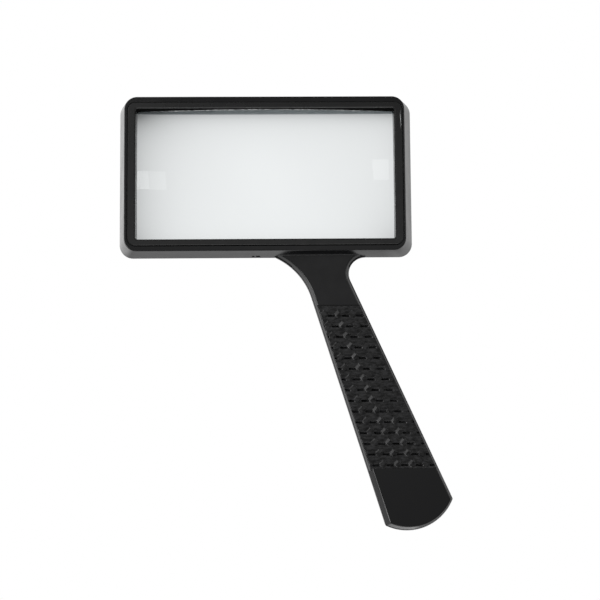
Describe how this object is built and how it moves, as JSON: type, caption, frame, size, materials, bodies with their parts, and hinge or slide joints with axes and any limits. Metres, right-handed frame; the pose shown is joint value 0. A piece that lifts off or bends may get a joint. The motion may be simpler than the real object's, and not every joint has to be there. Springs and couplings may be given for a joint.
{
  "type": "magnifying glass",
  "caption": "Hand-held reading magnifier: a rectangular biconvex lens in a flared black frame, with a slanted flat handle that carries textured grip pads.",
  "frame": {"origin": "where the lens axis meets the plane of the rear rim, which is the plane the object lies on", "axes": "+X along the long side of the frame, to the right when the handle points down; +Y away from the handle; +Z out of the front of the lens"},
  "size_m": [0.1294, 0.1693, 0.0133],
  "materials": {
    "frame_plastic": "moulded gloss black with fine handling scratches",
    "bezel_plastic": "moulded satin black",
    "grip_plastic": "satin black, moulded texture",
    "lens_glass": "polished faces, ground edges",
    "gasket_rubber": "pale translucent silicone, matt",
    "screw_steel": "bright zinc plated"
  },
  "bodies": {
    "root": {"front_shell": "frame_plastic", "handle_back": "frame_plastic", "lens": "lens_glass", "lens_gasket": "gasket_rubber", "lens_bezel": "bezel_plastic", "front_grip_pad": "grip_plastic", "rear_grip_pad": "grip_plastic", "handle_screws": "screw_steel"}
  },
  "joints": []
}
